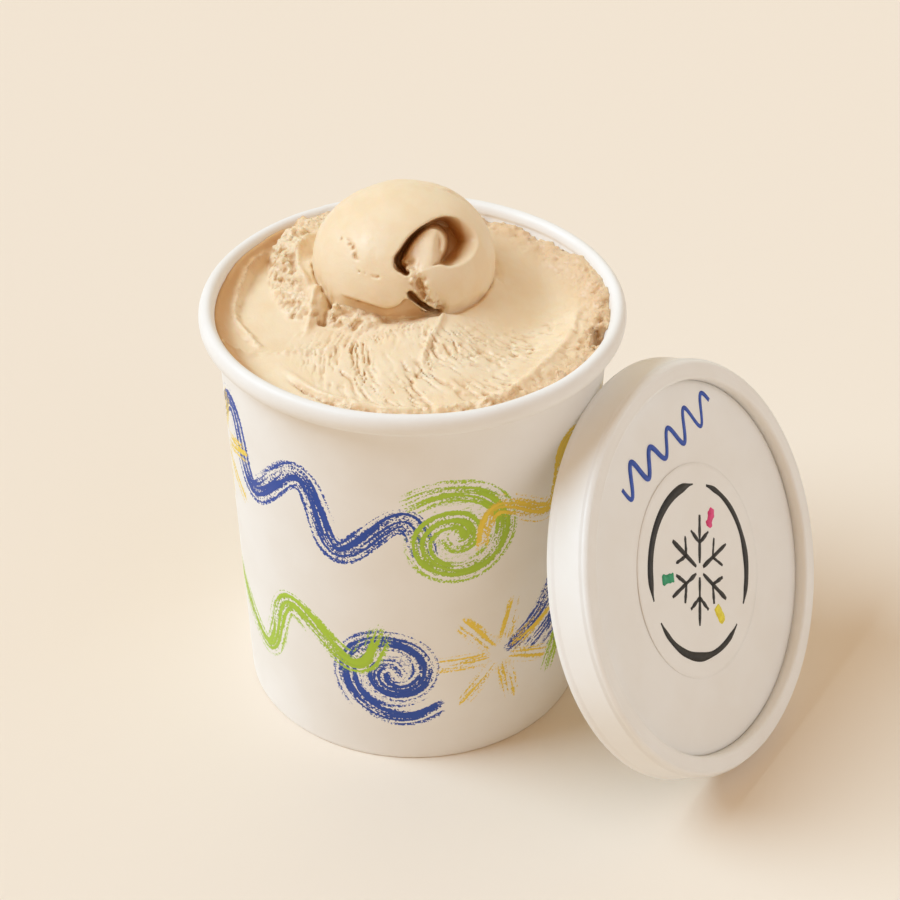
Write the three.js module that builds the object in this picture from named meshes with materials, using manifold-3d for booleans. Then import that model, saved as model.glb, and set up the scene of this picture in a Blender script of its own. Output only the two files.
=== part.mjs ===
// An open pint of ice cream: a paper cup, the ice cream in it with a rolled scoop on top,
// and the paper lid that leans against the cup.
// Millimetres, +Z up. The cup's axis is the pint group's own Z axis, and -Y is its front.
import * as THREE from "three";
import { mergeVertices } from "three/addons/utils/BufferGeometryUtils.js";
import Module from "manifold-3d";

const wasm = await Module();
wasm.setup();
const { degToRad, lerp, smoothstep } = THREE.MathUtils;

// Paper cup
const RIM_RADIUS = 47.5;
const CUP_HEIGHT = 101.6;
const BASE_RADIUS = 40.1;
const NECK_RADIUS = 43.6;
const NECK_HEIGHT = 95.9;
const BOARD = 0.8;
const ROLL_HALF_WIDTH = 2.35;
const ROLL_HALF_HEIGHT = 2.5;
const HEM_THICKNESS = 1.7;
const FOOT_CHAMFER = 0.4;
const BASE_RECESS = 5;
const FIT_GAP = 0.2;
const ROUND_SIDES = 64;

// Lid, measured along its own axis from the open edge
const LID_RADIUS = 48.1;
const LID_DEPTH = 9.5;
const LID_TAPER = 1.2;
const LID_CORNER = 1.2;
const LID_INNER_CORNER = 0.6;
const LID_RING_WIDTH = 4.4;
const LID_RECESS = 3;
const LID_BOARD = 0.6;
const LABEL_RADIUS = 24.5;
const LABEL_THICKNESS = 0.25;
const LABEL_DROP = 0.9;
const LABEL_GAP = 0.1;
const LID_CENTRE = { x: 59.19, y: -24.3 };
const LID_FACING = degToRad(-33.5);
const LID_TILT = degToRad(24.4);

// Ice cream surface: its level, and the marks that scooping left in it. Angles are in degrees.
const ANGLE_MARGIN = 14;
const LEVEL = { height: 96.7, rise_x: 0.03, rise_y: 0.03 };
const DISH = { depth: 2.4, reach: 34, width: 10, from: -50, to: 85, margin: 20 };
const CRAGS = { height: 3.6, radius: 41.2, width: 2.4, waves: 15, from: -85, to: 78 };
const PIT = { depth: 5, width: 2.6, x: 41.6, y: -8.6 };
const LIP = { height: 1.6, radius: 39.2, width: 1.4, from: 140, to: 280 };
const WALL_DROP = { depth: 1.4, near: 39.6, far: 41.6 };
const SWATH = { height: 4.2, end_height: 0.8, fade: 30, from: [6, -4.3], to: [-34, -13], bow: 4 };
const SWATH_EDGE = 1.2;
const SWATH_RUN_IN = { from: -20, to: 4 };
const COLLAR = { height: 3.2, near: 17, far: 34, from: -100, to: 60, margin: 30 };
const TEARS = { depth: 0.5, count: 46, near: 9, far: 32, from: -165, to: -15 };
// The torn slope on the scoop's left: angle from the scoop, and there its reach, width and rise
const LEDGE_STOPS = [
  [110, 29.0, 4.0, 0],
  [132, 31.0, 3.5, 5.5],
  [162, 32.5, 3.5, 7.2],
  [185, 30.6, 4.5, 6.6],
  [210, 30.4, 8.5, 4.6],
  [222, 26.0, 6.0, 4.0],
  [247, 22.8, 4.5, 3.6],
  [257, 20.5, 4.0, 3.0],
  [285, 18.0, 4.0, 0],
];
const LEDGE_CRUMB = { height: 1.4, waves: 19 };
const FILL_SECTORS = 90;
const FILL_RINGS = 30;
const SEAT_GAP = 0.3;

// Rolled scoop: an egg-shaped ball with the spiral hollow of the roll in its front
const BALL_CENTRE = new THREE.Vector3(-1.9, 14.8, 101.9);
const BALL_AXES = new THREE.Vector3(20.9, 20.9, 17.8);
const BALL_SIDES = 40;
const BALL_RINGS = 26;
const ROLL_FACING = degToRad(30);
const ROLL_OFFSET = { right: 9.2, up: 3.3 };
const HOLLOW_DEPTH = 1.8;
// Points of the hollow from its narrow left end round to the bowl: right, up, half width
const HOLLOW_PATH = [
  [-10.8, -4.4, 1.1],
  [-9.3, 0.2, 1.4],
  [-5.8, 4.2, 1.7],
  [-1.2, 5.6, 2.4],
  [3.0, 4.0, 4.0],
  [4.0, 0.6, 4.3],
  [1.6, -2.4, 2.2],
];
// The seam under the roll, where its torn edge lies on the ball's left side
const SEAM_PATH = [
  [-9.0, -9.6, 0.7],
  [-6.0, -11.4, 1.3],
  [-1.5, -13.6, 0.9],
];
const HOLLOW_STEPS = 24;
const SEAM_STEPS = 8;
const HOLLOW_SIDES = 12;

const paper = new THREE.MeshStandardMaterial({ color: 0xf4f1ec, roughness: 0.6, metalness: 0 });
const lidPaper = new THREE.MeshStandardMaterial({ color: 0xf2eee9, roughness: 0.55, metalness: 0 });
const labelPaper = new THREE.MeshStandardMaterial({ color: 0xf3efea, roughness: 0.35, metalness: 0 });
const iceCream = new THREE.MeshStandardMaterial({ color: 0xe3c79d, roughness: 0.5, metalness: 0 });

// A solid of revolution about Z. The profile is a list of [radius, height] that runs up its outer side.
function turned(profile, sides = ROUND_SIDES) {
  const points = profile.map(([radius, height]) => new THREE.Vector2(radius, height));
  return new THREE.LatheGeometry(points, sides).rotateX(Math.PI / 2);
}

// Points of an elliptic arc, from one angle to another in degrees
function arc(radius, height, halfWidth, halfHeight, from, to, steps) {
  return Array.from({ length: steps + 1 }, (_, i) => {
    const angle = degToRad(lerp(from, to, i / steps));
    return [radius + halfWidth * Math.cos(angle), height + halfHeight * Math.sin(angle)];
  });
}

const closed = (profile) => [...profile, profile[0]];

// A closed geometry as a solid that can be joined or cut
function solidOf(geometry) {
  const bare = geometry.clone();
  bare.deleteAttribute("normal");
  bare.deleteAttribute("uv");
  const merged = mergeVertices(bare, 1e-4);
  return new wasm.Manifold(
    new wasm.Mesh({
      numProp: 3,
      vertProperties: merged.attributes.position.array,
      triVerts: new Uint32Array(merged.index.array),
    }),
  );
}

function geometryOf(solid) {
  const { vertProperties, triVerts } = solid.getMesh();
  const geometry = new THREE.BufferGeometry();
  geometry.setAttribute("position", new THREE.BufferAttribute(vertProperties, 3));
  geometry.setIndex(new THREE.BufferAttribute(triVerts, 1));
  geometry.computeVertexNormals();
  return geometry;
}

function named(name, geometry, material) {
  const mesh = new THREE.Mesh(geometry, material);
  mesh.name = name;
  return mesh;
}

// Outside radius of the cup's wall at a height
const wallRadius = (height) => lerp(BASE_RADIUS, NECK_RADIUS, height / NECK_HEIGHT);
const insideRadius = (height) => wallRadius(height) - BOARD;

// The side wall: one blank whose top edge is rolled out and whose bottom edge is folded in as a hem
function cupWall() {
  const rollCentre = [RIM_RADIUS - ROLL_HALF_WIDTH, CUP_HEIGHT - ROLL_HALF_HEIGHT];
  const roll = arc(...rollCentre, ROLL_HALF_WIDTH, ROLL_HALF_HEIGHT, -125, 180, 11);
  const hemInside = BASE_RADIUS - HEM_THICKNESS;
  return turned(
    closed([
      [hemInside, 0],
      [BASE_RADIUS - FOOT_CHAMFER, 0],
      [BASE_RADIUS, FOOT_CHAMFER],
      [NECK_RADIUS, NECK_HEIGHT],
      ...roll,
      [insideRadius(BASE_RECESS), BASE_RECESS],
      [hemInside, BASE_RECESS],
    ]),
  );
}

// The bottom disc, which sits on the hem
function cupBase() {
  const low = BASE_RECESS + FIT_GAP;
  const edge = insideRadius(low) - FIT_GAP;
  return turned([
    [0, low],
    [edge, low],
    [edge, low + BOARD],
    [0, low + BOARD],
  ]);
}

// 1 inside a span of angles in degrees, falling to 0 over the margin at each end
function within(angle, { from, to, margin = ANGLE_MARGIN }) {
  const middle = (from + to) / 2;
  const away = Math.abs(((angle - middle + 540) % 360) - 180);
  return 1 - smoothstep(away, (to - from) / 2 - margin, (to - from) / 2 + margin);
}

const bump = (distance, width) => Math.exp(-((distance / width) ** 2));
const degrees = (x, y) => THREE.MathUtils.radToDeg(Math.atan2(y, x));

// An uneven wave between 0 and 1 round the cup, for broken edges
function broken(angle, waves) {
  const turn = degToRad(angle);
  const sum = Math.sin(waves * turn) + Math.sin(1.7 * waves * turn + 2) + Math.sin(2.6 * waves * turn + 4);
  return 0.5 + sum / 6;
}

// Values at an angle, in a straight line between the stops on its two sides
function between(stops, angle) {
  const next = stops.findIndex(([at]) => at > angle);
  if (next < 1) return stops[next === 0 ? 0 : stops.length - 1].slice(1);
  const [low, high] = [stops[next - 1], stops[next]];
  const share = (angle - low[0]) / (high[0] - low[0]);
  return low.slice(1).map((value, i) => lerp(value, high[i + 1], share));
}

// The torn slope that the scoop was rolled from, high behind it on the left and low in front
function ledge(x, y) {
  const dx = x - BALL_CENTRE.x;
  const dy = y - BALL_CENTRE.y;
  const angle = (degrees(dx, dy) + 360) % 360;
  const [reach, width, rise] = between(LEDGE_STOPS, angle);
  const crumb = LEDGE_CRUMB.height * (broken(angle, LEDGE_CRUMB.waves) - 0.5);
  const share = 1 - smoothstep(Math.hypot(dx, dy), reach + crumb - width, reach + crumb);
  return rise * share;
}

// The last sweep of the spade lies across the front, over the smooth patch on the left
function swath(x, y) {
  const [fromX, fromY] = SWATH.from;
  const along = new THREE.Vector2(SWATH.to[0] - fromX, SWATH.to[1] - fromY);
  const length = along.length();
  along.divideScalar(length);
  const run = (x - fromX) * along.x + (y - fromY) * along.y;
  const share = THREE.MathUtils.clamp(run / length, 0, 1);
  const bow = SWATH.bow * Math.sin(Math.PI * share);
  const side = (x - fromX) * -along.y + (y - fromY) * along.x - bow;
  const step = smoothstep(side, -SWATH_EDGE, SWATH_EDGE);
  const height = lerp(SWATH.height, SWATH.end_height, share);
  const lead = smoothstep(run, SWATH_RUN_IN.from, SWATH_RUN_IN.to);
  return height * step * (1 - smoothstep(side, 0, SWATH.fade)) * lead;
}

// Tear marks that fan out over the front from beside the scoop
function tears(x, y) {
  const [fanX, fanY] = SWATH.from;
  const away = Math.hypot(x - fanX, y - fanY);
  const angle = degrees(x - fanX, y - fanY);
  const inner = smoothstep(away, TEARS.near, 2 * TEARS.near);
  const strength = inner * (1 - smoothstep(away, 0.8 * TEARS.far, TEARS.far));
  const wave = Math.sin(degToRad(angle) * TEARS.count);
  return -TEARS.depth * strength * within(angle, TEARS) * Math.max(0, wave);
}

// Height of the ice cream at a place in the cup
function surfaceHeight(x, y) {
  const radius = Math.hypot(x, y);
  const angle = degrees(x, y);
  const fromBall = Math.hypot(x - BALL_CENTRE.x, y - BALL_CENTRE.y);
  const ballAngle = degrees(x - BALL_CENTRE.x, y - BALL_CENTRE.y);
  const level = LEVEL.height + LEVEL.rise_x * x + LEVEL.rise_y * y;
  const dish = -DISH.depth * bump(fromBall - DISH.reach, DISH.width) * within(ballAngle, DISH);
  const collarShare = 1 - smoothstep(fromBall, COLLAR.near, COLLAR.far);
  const collar = COLLAR.height * collarShare * within(ballAngle, COLLAR);
  const cragHeight = CRAGS.height * broken(angle, CRAGS.waves);
  const crags = cragHeight * bump(radius - CRAGS.radius, CRAGS.width) * within(angle, CRAGS);
  const lip = LIP.height * bump(radius - LIP.radius, LIP.width) * within(angle, LIP);
  const pastLip = smoothstep(radius, WALL_DROP.near, WALL_DROP.far);
  const drop = -WALL_DROP.depth * pastLip * within(angle, LIP);
  const pit = -PIT.depth * bump(Math.hypot(x - PIT.x, y - PIT.y), PIT.width);
  const heap = Math.max(collar, swath(x, y), ledge(x, y));
  return level + dish + crags + pit + lip + drop + heap + tears(x, y);
}

// The scoop's ball, or its seat when grown by a gap
function ball(gap = 0) {
  return new THREE.SphereGeometry(1, BALL_SIDES, BALL_RINGS)
    .rotateX(Math.PI / 2)
    .scale(BALL_AXES.x + gap, BALL_AXES.y + gap, BALL_AXES.z + gap)
    .translate(BALL_CENTRE.x, BALL_CENTRE.y, BALL_CENTRE.z);
}

// A place on the ball's front, given as seen along the roll's axis
function onBall(right, up) {
  const facing = new THREE.Vector3(0, -Math.cos(ROLL_FACING), Math.sin(ROLL_FACING));
  const upward = new THREE.Vector3(0, Math.sin(ROLL_FACING), Math.cos(ROLL_FACING));
  const start = new THREE.Vector3(right + ROLL_OFFSET.right, 0, 0);
  start.addScaledVector(upward, up + ROLL_OFFSET.up);
  const p = start.clone().divide(BALL_AXES);
  const d = facing.clone().divide(BALL_AXES);
  const half = p.dot(d) / d.dot(d);
  const run = -half + Math.sqrt(Math.max(0, half ** 2 - (p.dot(p) - 1) / d.dot(d)));
  return start.addScaledVector(facing, run).add(BALL_CENTRE);
}

// A hollow in the ball: a tapered tube along its path, deeper than it is wide
function hollow(path, steps) {
  const route = new THREE.CatmullRomCurve3(path.map(([right, up]) => onBall(right, up)));
  const widths = new THREE.CatmullRomCurve3(path.map(([, , half]) => new THREE.Vector3(half, 0, 0)));
  const facing = new THREE.Vector3(0, -Math.cos(ROLL_FACING), Math.sin(ROLL_FACING));
  const position = [];
  const index = [];
  for (let i = 0; i <= steps; i++) {
    const t = i / steps;
    const centre = route.getPoint(t);
    const across = route.getTangent(t).cross(facing).normalize();
    const half = widths.getPoint(t).x;
    for (let j = 0; j < HOLLOW_SIDES; j++) {
      const turn = (2 * Math.PI * j) / HOLLOW_SIDES;
      const rim = centre.clone().addScaledVector(across, half * Math.cos(turn));
      rim.addScaledVector(facing, HOLLOW_DEPTH * half * Math.sin(turn));
      position.push(rim.x, rim.y, rim.z);
    }
  }
  for (let i = 0; i < steps; i++) {
    for (let j = 0; j < HOLLOW_SIDES; j++) {
      const a = i * HOLLOW_SIDES + j;
      const b = i * HOLLOW_SIDES + ((j + 1) % HOLLOW_SIDES);
      index.push(a, a + HOLLOW_SIDES, b, b, a + HOLLOW_SIDES, b + HOLLOW_SIDES);
    }
  }
  const last = steps * HOLLOW_SIDES;
  for (let j = 1; j < HOLLOW_SIDES - 1; j++) {
    index.push(0, j, j + 1, last, last + j + 1, last + j);
  }
  const geometry = new THREE.BufferGeometry();
  geometry.setAttribute("position", new THREE.Float32BufferAttribute(position, 3));
  geometry.setIndex(index);
  return geometry;
}

function scoop() {
  const spiral = solidOf(hollow(HOLLOW_PATH, HOLLOW_STEPS));
  const seam = solidOf(hollow(SEAM_PATH, SEAM_STEPS));
  return geometryOf(solidOf(ball()).subtract(spiral).subtract(seam));
}

// The ice cream in the cup: a turned plug whose top is raised to the scooped surface
function fill() {
  const low = BASE_RECESS + BOARD + 2 * FIT_GAP;
  const edge = insideRadius(LEVEL.height - 5) - SEAT_GAP;
  const rings = Array.from({ length: FILL_RINGS }, (_, i) => [edge * (1 - i / FILL_RINGS), CUP_HEIGHT]);
  const plug = turned(
    [[0, low], [insideRadius(low) - SEAT_GAP, low], ...rings, [0, CUP_HEIGHT]],
    FILL_SECTORS,
  );
  const places = plug.attributes.position;
  for (let i = 0; i < places.count; i++) {
    if (places.getZ(i) > LEVEL.height) {
      places.setZ(i, surfaceHeight(places.getX(i), places.getY(i)));
    }
  }
  return geometryOf(solidOf(plug).subtract(solidOf(ball(SEAT_GAP))));
}

// The lid's band: a skirt, the raised ring round its face, and the short wall down to the panel
function lidBand() {
  const top = LID_RADIUS - LID_TAPER;
  const ringInside = top - LID_RING_WIDTH;
  const foot = LID_DEPTH - LID_RECESS - LID_BOARD;
  const outer = arc(top - LID_CORNER, LID_DEPTH - LID_CORNER, LID_CORNER, LID_CORNER, 0, 90, 4);
  const innerCentre = [ringInside + LID_INNER_CORNER, LID_DEPTH - LID_INNER_CORNER];
  const inner = arc(...innerCentre, LID_INNER_CORNER, LID_INNER_CORNER, 90, 180, 2);
  return turned(
    closed([
      [LID_RADIUS - LID_BOARD, 0],
      [LID_RADIUS, 0],
      ...outer,
      ...inner,
      [ringInside, foot],
      [ringInside + LID_BOARD, foot],
      [ringInside + LID_BOARD, LID_DEPTH - LID_BOARD],
      [top - LID_BOARD, LID_DEPTH - LID_CORNER],
    ]),
  );
}

// A flat disc of the lid, from one depth to another along its axis
const disc = (radius, low, high) => turned([[0, low], [radius, low], [radius, high], [0, high]]);

function lid() {
  const group = new THREE.Group();
  const panelTop = LID_DEPTH - LID_RECESS;
  const panelRadius = LID_RADIUS - LID_TAPER - LID_RING_WIDTH - FIT_GAP;
  const label = named("lid_label", disc(LABEL_RADIUS, 0, LABEL_THICKNESS), labelPaper);
  label.position.set(LABEL_DROP, 0, panelTop + LABEL_GAP);
  group.add(named("lid_band", lidBand(), lidPaper));
  group.add(named("lid_panel", disc(panelRadius, panelTop - LID_BOARD, panelTop), lidPaper));
  group.add(label);
  group.position.set(LID_CENTRE.x, LID_CENTRE.y, LID_RADIUS * Math.cos(LID_TILT));
  group.rotation.set(0, Math.PI / 2 - LID_TILT, LID_FACING, "ZYX");
  return group;
}

const pint = new THREE.Group();
pint.add(named("cup_wall", cupWall(), paper));
pint.add(named("cup_base", cupBase(), paper));
pint.add(named("ice_cream", fill(), iceCream));
pint.add(named("scoop", scoop(), iceCream));
pint.add(lid());

// The whole stands on Z = 0 with its middle over the origin
const part = new THREE.Group();
part.add(pint);
const box = new THREE.Box3().setFromObject(pint, true);
const middle = box.getCenter(new THREE.Vector3());
pint.position.set(-middle.x, -middle.y, -box.min.z);

export default part;
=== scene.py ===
import math

import bmesh
import bpy
import numpy as np
from mathutils import Matrix, Vector


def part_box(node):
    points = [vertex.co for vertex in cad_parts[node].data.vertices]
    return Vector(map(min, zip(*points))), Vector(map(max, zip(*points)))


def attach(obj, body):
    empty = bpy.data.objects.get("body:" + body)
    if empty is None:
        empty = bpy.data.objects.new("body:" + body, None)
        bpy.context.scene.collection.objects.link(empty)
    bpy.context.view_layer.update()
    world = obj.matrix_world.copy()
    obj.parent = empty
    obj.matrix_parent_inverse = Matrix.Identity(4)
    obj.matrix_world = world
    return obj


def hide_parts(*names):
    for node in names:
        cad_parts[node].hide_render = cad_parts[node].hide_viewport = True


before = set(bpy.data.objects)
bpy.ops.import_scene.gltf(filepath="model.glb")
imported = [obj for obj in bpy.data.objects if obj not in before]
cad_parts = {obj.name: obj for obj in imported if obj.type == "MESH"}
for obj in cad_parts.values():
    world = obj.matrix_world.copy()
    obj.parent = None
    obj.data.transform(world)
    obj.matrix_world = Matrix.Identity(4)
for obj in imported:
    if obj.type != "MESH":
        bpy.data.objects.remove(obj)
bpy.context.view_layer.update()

# All sizes are in millimetres, with the cup's axis as Z and -Y as its front
MM = 0.001
BASE_LOW, BASE_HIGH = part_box("cup_base")
CUP_AXIS = (np.array(BASE_LOW) + np.array(BASE_HIGH)) / 2 * [1, 1, 0]

# Paper cup
RIM_RADIUS = 47.5
CUP_HEIGHT = 101.6
BASE_RADIUS = 40.1
NECK_RADIUS = 43.6
NECK_HEIGHT = 95.9
BOARD = 0.8
ROLL_HALF_WIDTH = 1.8
ROLL_HALF_HEIGHT = 2.5
FLARE = {"step": 1.1, "from": 94.5, "to": 99.5}
HEM_THICKNESS = 1.7
BASE_RECESS = 5.0
BASE_BEAD = {"height": 0.15, "radius": 34, "width": 1.2}
FIT_GAP = 0.2
CUP_SIDES = 288
SEAM = {"angle": 112.0, "width": 8.0, "step": 0.28, "edge": 0.5}
NECK_LINE = {"step": 0.16, "from": 93.15, "to": 93.85}
RIM_SWAY = 0.10

# Lid, measured along its own axis from the open edge
LID_RADIUS = 48.1
LID_DEPTH = 9.5
LID_TAPER = 1.2
SKIRT = {"lean": 0.72, "bead": 0.22, "bead_end": (1.3, 1.7)}
LID_CORNER = 1.2
LID_RING_WIDTH = 4.4
LID_RECESS = 3.0
LID_BOARD = 0.6
LABEL_RADIUS = 24.5
LABEL_THICKNESS = 0.16
LABEL_DROP = 0.9
LID_CENTRE = (59.19, -24.3)
LID_FACING = math.radians(-33.5)
LID_TILT = math.radians(24.4)
LID_SIDES = 240
PANEL_TOP = LID_DEPTH - LID_RECESS
PAPER_GAP = 0.02
LABEL_TOP = PANEL_TOP + PAPER_GAP + LABEL_THICKNESS

# Ice cream surface: its level, and the marks that scooping left in it
LEVEL = {"height": 96.7, "rise_x": 0.03, "rise_y": 0.03}
DISH = {"depth": 3.6, "reach": 34, "width": 10, "from": -50, "to": 85, "margin": 20}
CRAGS = {"height": 3.6, "radius": 41.8, "width": 2.4, "waves": 15, "from": -85, "to": 78, "margin": 14}
PIT = {"depth": 4.5, "width": 1.6, "line": [(41.5, -7.0), (40.5, -12.0)]}
COLLAR = {"height": 3.2, "near": 17, "far": 34, "from": -100, "to": 60, "margin": 30}
BACK_RISE = {"height": 2.8, "near": 31, "far": 42, "from": 0, "to": 88, "margin": 22}
SMEAR = {"height": 4.0, "radius": 43.8, "width": 2.6, "from": 120, "to": 250, "margin": 20}
TROUGH = {"depth": 1.5, "radius": 40.0, "width": 3.0, "from": -70, "to": 12, "margin": 14}
FRONT_CRUMBS = {"near": 34.5, "far": 37.0, "from": -125, "to": -50, "margin": 12}
TEARS = {"depth": 0.8, "near": 3, "far": 38, "from": -172, "to": 8, "margin": 25}
PLATE_SIZE = np.array([1.15, 2.5])
CRACK_SIZE = np.array([0.85, 1.9])
SWATH = {
    "height": 4.2, "end_height": 0.8, "lip": 0.5, "edge": 0.9, "fade": 30,
    "from": (6, -4.3), "to": (-34, -13), "bow": 4,
}
LEFT_RIDGE = [(-31.9, 26.5), (-36.9, 18.6), (-39.6, 7.8), (-39.2, -0.6), (-36.0, -7.2), (-32.5, -12.2)]
FRONT_RIDGE = [(-29.0, -19.4), (-19.8, -29.2), (-9.2, -33.5), (3.4, -35.2), (17.4, -31.3)]
RIGHT_RIDGE = [(14.1, -32.9), (20.5, -29.1), (28.5, -18.7), (34.7, -6.8), (37.5, 5.7)]
FRONT_CRACK = [(-27.0, -24.0), (-19.0, -31.2), (-9.2, -35.0), (3.4, -36.7), (17.4, -32.8)]
FLAP = [(-19.4, 6.8), (-22.0, 3.8), (-22.9, -1.2), (-23.7, -4.9)]
FLAP_HOLLOW = [(-17.6, 3.4), (-19.4, 0.8), (-20.4, -2.6)]
SHEET = [(-23.4, 25.4), (-26.0, 18.4), (-25.6, 11.0), (-22.8, 5.2)]
STRAND = [(7.1, -3.2), (5.6, -9.6), (3.0, -15.9), (1.9, -21.4)]
# Height and width of each line, where a groove's height is below 0
LINES = [
    (LEFT_RIDGE, 1.3, 0.8), (FRONT_RIDGE, 0.7, 0.8), (RIGHT_RIDGE, 1.0, 1.1), (STRAND, 1.1, 0.7),
    (FLAP, 1.2, 0.8), (FLAP_HOLLOW, -2.6, 0.9), (SHEET, 1.3, 0.9), (FRONT_CRACK, -1.3, 0.55),
]
# The torn slope round the scoop's left: angle from the scoop, and there its reach, width and rise
LEDGE = [
    (110, 29.0, 4.0, 0.0), (132, 31.0, 3.5, 5.5), (162, 32.5, 3.5, 7.2), (185, 30.6, 4.5, 6.6),
    (210, 30.4, 8.5, 4.6), (222, 26.0, 6.0, 4.0), (247, 22.8, 4.5, 3.6), (257, 20.5, 4.0, 3.0),
    (285, 18.0, 4.0, 0.0),
]
# Rise and size of the soft lumps that are everywhere
SOFT_LUMPS = [(0.04, 1.6), (0.12, 4.5)]
# Crumbs: rise and size of their lumps, and rise, size and middle of their grains
LUMPS = [(1.2, 3.6), (0.8, 1.7), (0.45, 1.1)]
GRAINS = [(1.1, 2.2, 0.55), (0.7, 1.25, 0.5)]
FILL_CRUMBS = {"size": 0.82, "rise": 0.9}
SCOOP_CRUMBS = {"size": 0.62, "rise": 0.75}
# The groove where the scoop meets the ice cream: its depth in each, width and raggedness
GROOVE = {"fill": 1.3, "scoop": 0.6, "width": 1.2, "ragged": 0.9}
# Painted shade in the surface's gaps: passes of blur that find them, their share, and how deep they begin and
# end
SHADED_GAP_PASSES = [(3, 0.5, (0.05, 0.25)), (10, 0.2, (0.15, 0.75))]
# Painted shade on the ice cream: its share on the film at the left wall and where that begins and ends, its
# share on the crags, and in the scoop's hollows the depth it begins at and the depth over which it grows
PAINTED_SHADE_SHARES = {"film": 0.85, "wall_shade_span": (39.0, 42.8), "crags": 0.4, "hollow_from": 0.4, "hollow_over": 5.0}
VOXEL = 0.395
SCOOP_VOXEL = 0.3
GRID_LOW = (-44.8, -44.8, 90.6)
GRID_HIGH = (44.8, 44.8, 106.6)
BAND = 2.6
SCOOP_BOTTOM = 90.5

# Rolled scoop: a flattened ball with the spiral hollow of the roll in its front
BALL_CENTRE = np.array([-1.9, 14.8, 101.9])
BALL_AXES = np.array([20.9, 20.9, 17.8])
ROLL_FACING = math.radians(30)
ROLL_OFFSET = {"right": 9.2, "up": 3.3}
# The hollow's edge, the tongue inside it and the open seam below it, seen along the roll's axis: right, up
HOLLOW_EDGE = [
    (-11.6, -3.4), (-11.3, -1.8), (-10.1, -0.1), (-8.5, 2.1), (-6.5, 4.0), (-4.3, 5.4), (-2.1, 6.5),
    (0.3, 7.0), (2.8, 6.7), (5.0, 5.6), (6.7, 3.9), (7.6, 1.8), (7.3, -0.1), (6.2, -1.9), (4.4, -3.3),
    (2.2, -4.0), (0.3, -4.0), (-1.6, -3.6), (-4.5, -4.6), (-8.2, -6.1), (-10.1, -5.3), (-11.2, -4.5),
]
TONGUE_EDGE = [
    (-1.2, -3.6), (-0.5, -1.8), (0.1, 0.4), (0.0, 2.4), (-0.9, 3.7), (-2.4, 4.4), (-4.1, 4.2), (-5.7, 3.1),
    (-7.3, 1.2), (-8.6, -0.9), (-9.3, -2.7), (-8.2, -5.2), (-5.7, -7.2), (-2.6, -6.4),
]
TONGUE_CREST = [(-4.6, -6.0), (-3.4, -3.9), (-2.95, -2.0), (-2.85, 0.1), (-2.6, 1.9), (-2.1, 3.3)]
TONGUE_HOOK = [(-2.1, 3.3), (-1.2, 3.0), (-0.5, 2.0), (-0.3, 0.8), (-0.6, -0.6)]
ROLL_SEAM_EDGE = [
    (-8.7, -9.8), (-7.8, -9.1), (-6.7, -9.8), (-6.0, -10.7), (-4.9, -11.5), (-3.4, -12.5), (-2.1, -13.4),
    (-1.0, -13.8), (-1.3, -14.4), (-3.0, -14.1), (-4.9, -13.4), (-6.8, -12.0), (-8.2, -10.9),
]
# Lower edge of the scoop's smooth outer layer, and a row of pores on it
LAYER_EDGE = [
    (-24.5, -9.6), (-21.1, -10.6), (-16.7, -12.0), (-13.1, -12.9), (-10.4, -12.1), (-9.3, -11.0),
    (-8.2, -11.0), (-6.8, -12.1), (-4.9, -13.5), (-3.0, -14.2), (-1.0, -14.6), (2.0, -15.0),
]
PORE_ROW = [(-22.7, 2.1), (-20.6, 0.8), (-19.9, -1.2), (-19.3, -3.7), (-18.3, -4.9), (-15.0, -6.0)]
TORN_EDGE = [(-7.6, -4.9), (-6.2, -7.0), (-5.2, -9.4), (-3.4, -11.6), (-1.5, -13.2)]
TONGUE_FOOT = [(-9.8, -3.6), (-8.0, -3.4), (-7.2, -5.0)]
LAYER = {"step": 2.5, "lip": 0.6, "from": (-24, -19), "to": (-4.0, 0.5)}
# How far the tongue sinks: at its crest's two ends, to each side, round its hook and past its edge
TONGUE = {"start": 0.3, "end": 0.9, "left": 0.6, "right": 0.85, "hook": 1.5, "round_hook": 0.9, "edge": 6.0}
HOLLOW_DEPTH = 10.0
# Width and steepness of the hollow's wall at its left and at its softer right
HOLLOW_WALL = (0.9, 6.0)
HOLLOW_POWER = (0.5, 1.1)
# How far behind the ball's middle the hollow may cut, and the value that cuts nothing
ROLL_REACH = 6.0
NO_CUT = -5.0
ROLL_SEAM_DEPTH = 6.0
ROLL_SEAM_WALL = 0.8
TORN_DEPTH = 1.1
PORE_DEPTH = 0.7
BALL_LUMPS = {"rise": 0.35, "size": 11.0}
WRINKLES = {"rise": 0.24, "size": np.array([2.6, 7.0, 6.0])}
MAP_LOW = (-32.0, -24.0)
MAP_HIGH = (16.0, 18.0)
MAP_STEP = 0.16


def smoothstep(x, low, high):
    t = np.clip((x - low) / (high - low), 0, 1)
    return t * t * (3 - 2 * t)


def mix(a, b, share):
    return a + (b - a) * share


def bump(distance, width):
    return np.exp(-((distance / width) ** 2))


def paired(a, b):
    """Points from two arrays of coordinates."""
    return np.stack([a, b], -1)


def polar(x, y, centre=(0, 0)):
    """Distance from a centre, and the angle there in degrees."""
    dx, dy = x - centre[0], y - centre[1]
    return np.hypot(dx, dy), np.degrees(np.arctan2(dy, dx))


def degrees_apart(angle, other):
    return np.abs((angle - other + 540) % 360 - 180)


def within(angle, span):
    """1 inside a span of angles in degrees, falling to 0 over its margin at each end."""
    half = (span["to"] - span["from"]) / 2
    away = degrees_apart(angle, (span["from"] + span["to"]) / 2)
    return 1 - smoothstep(away, half - span["margin"], half + span["margin"])


def along_wall(radius, angle, form):
    """The share of a form that runs round the cup near its wall."""
    return bump(radius - form["radius"], form["width"]) * within(angle, form)


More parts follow.
